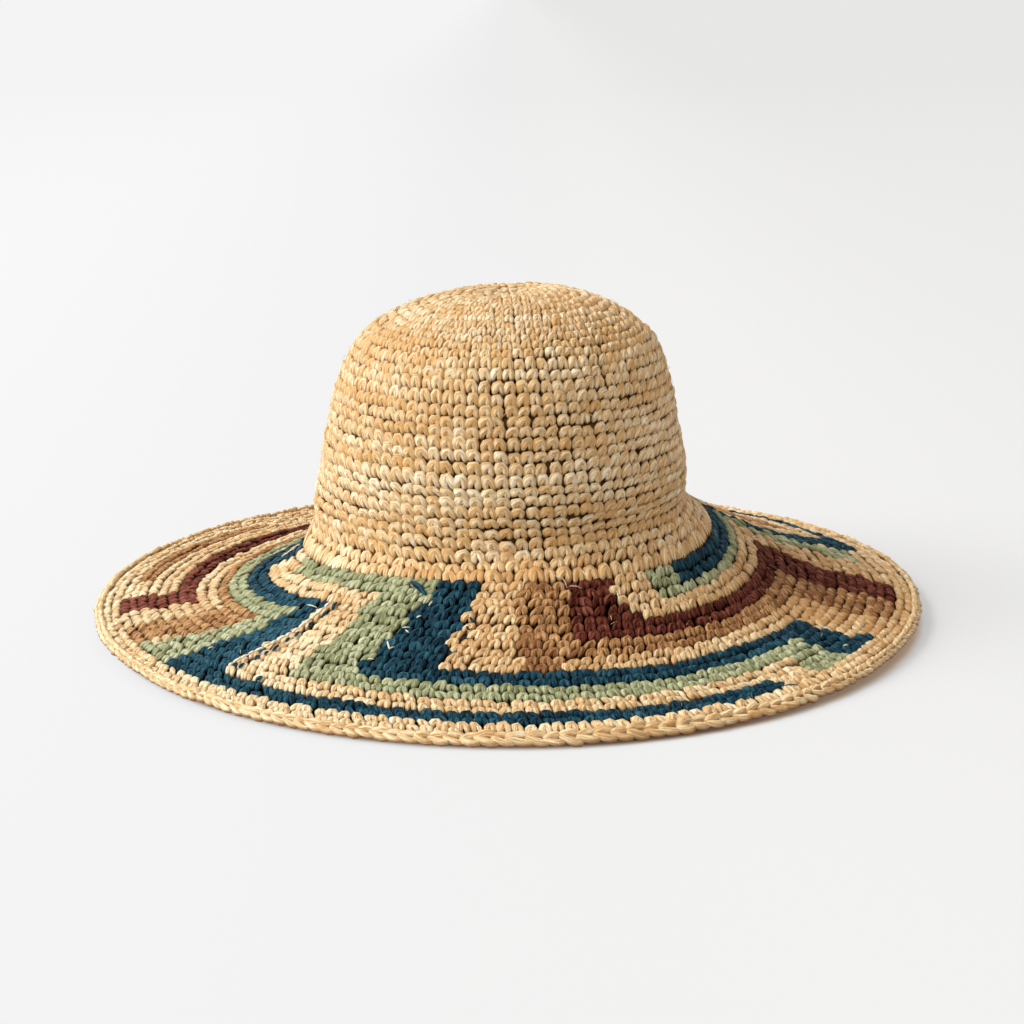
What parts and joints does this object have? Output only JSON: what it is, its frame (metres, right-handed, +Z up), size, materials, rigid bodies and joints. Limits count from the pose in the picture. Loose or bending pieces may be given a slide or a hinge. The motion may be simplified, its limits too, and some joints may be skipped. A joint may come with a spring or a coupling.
{
  "type": "straw cloche hat",
  "caption": "Crocheted raffia straw hat with a domed crown, a wide sagging brim in a stepped fret pattern and a thick rolled edge, open below for the head.",
  "frame": {"origin": "on the surface that the hat rests on, below the middle of its outline; the crown's axis rises from it", "axes": "+Z up through the crown, -Y towards the front of the hat, +X towards the right as seen from the front"},
  "size_m": [0.4189, 0.4252, 0.1603],
  "materials": {
    "natural_straw": "undyed raffia straw, softly glossy, with streaks and loose fibres",
    "patterned_straw": "raffia straw in natural, tan, brown, sage green and navy, charted as a stepped fret",
    "tan_straw": "raffia straw dyed light tan",
    "brown_straw": "raffia straw dyed reddish brown",
    "green_straw": "raffia straw dyed sage green",
    "navy_straw": "raffia straw dyed dark teal navy"
  },
  "bodies": {
    "root": {"crown": "natural_straw", "brim": "patterned_straw", "rolled_edge": "natural_straw"}
  },
  "joints": []
}
